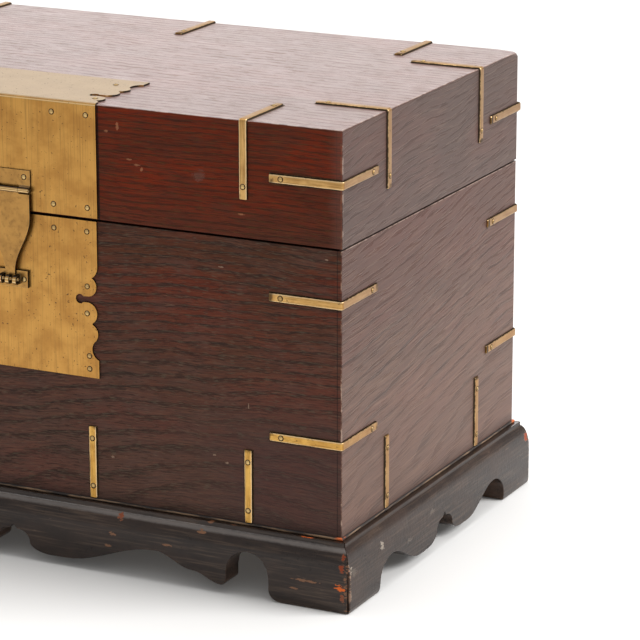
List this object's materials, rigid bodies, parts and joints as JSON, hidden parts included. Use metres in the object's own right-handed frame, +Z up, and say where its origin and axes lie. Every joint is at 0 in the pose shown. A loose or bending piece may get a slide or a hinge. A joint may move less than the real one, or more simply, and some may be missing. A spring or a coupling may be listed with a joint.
{
  "type": "brass-mounted chest",
  "caption": "Low lidded hardwood chest with cloud-edged brass plates, bent corner straps, a hanging hasp and a scalloped black plinth.",
  "frame": {"origin": "middle of the footprint, on the floor", "axes": "+X to the right as seen from the front, +Y to the back, +Z up; the front with the lock plates faces -Y"},
  "size_m": [0.759, 0.454, 0.4815],
  "materials": {
    "case_wood": "satin, open-pored, dark stained",
    "lid_wood": "satin, open-pored, red-brown stained",
    "bare_wood": "matt, unfinished",
    "black_lacquer": "worn black lacquer",
    "brass": "satin, aged",
    "brass_nails": "dull, darkened"
  },
  "bodies": {
    "case": {"plinth_front_rail": "black_lacquer", "plinth_back_rail": "black_lacquer", "plinth_left_rail": "black_lacquer", "plinth_right_rail": "black_lacquer", "plinth_corner_blocks": "bare_wood", "bead_front_strip": "black_lacquer", "bead_back_strip": "black_lacquer", "bead_left_strip": "black_lacquer", "bead_right_strip": "black_lacquer", "case_front_board": "case_wood", "case_back_board": "case_wood", "case_left_board": "case_wood", "case_right_board": "case_wood", "case_floor_board": "bare_wood", "lock_plate": "brass", "lock_staple": "brass", "case_strap_front_right_upper": "brass", "case_strap_front_right_lower": "brass", "case_strap_front_left_upper": "brass", "case_strap_front_left_lower": "brass", "case_strap_back_right_upper": "brass", "case_strap_back_right_lower": "brass", "case_strap_back_left_upper": "brass", "case_strap_back_left_lower": "brass", "foot_strips_front": "brass", "foot_strips_back": "brass", "foot_strips_left": "brass", "foot_strips_right": "brass", "case_hinge_leaf_left": "brass", "case_hinge_leaf_right": "brass", "hinge_pin_left": "brass", "hinge_pin_right": "brass", "case_nails": "brass_nails"},
    "lid": {"lid_top_board": "lid_wood", "lid_front_board": "lid_wood", "lid_back_board": "lid_wood", "lid_left_board": "lid_wood", "lid_right_board": "lid_wood", "lid_plate": "brass", "lid_strap_front_right": "brass", "lid_strap_front_left": "brass", "lid_strap_back_right": "brass", "lid_strap_back_left": "brass", "edge_strap_front_right": "brass", "edge_strap_front_left": "brass", "edge_strap_right_front": "brass", "edge_strap_right_back": "brass", "edge_strap_left_front": "brass", "edge_strap_left_back": "brass", "edge_strap_back_right": "brass", "edge_strap_back_middle": "brass", "edge_strap_back_left": "brass", "lid_hinge_leaf_left": "brass", "lid_hinge_leaf_right": "brass", "hasp_leaf": "brass", "hasp_pin": "brass", "lid_nails": "brass_nails"},
    "hasp": {"hasp": "brass"}
  },
  "joints": [
    {"name": "lid_hinge", "type": "hinge", "parent": "case", "child": "lid", "pos_m": [0, 0.2162, 0.3617], "axis": [-1, 0, 0], "range_deg": [0, 100]},
    {"name": "hasp_hinge", "type": "hinge", "parent": "lid", "child": "hasp", "pos_m": [0, -0.218, 0.385], "axis": [-1, 0, 0], "range_deg": [0, 165]}
  ]
}
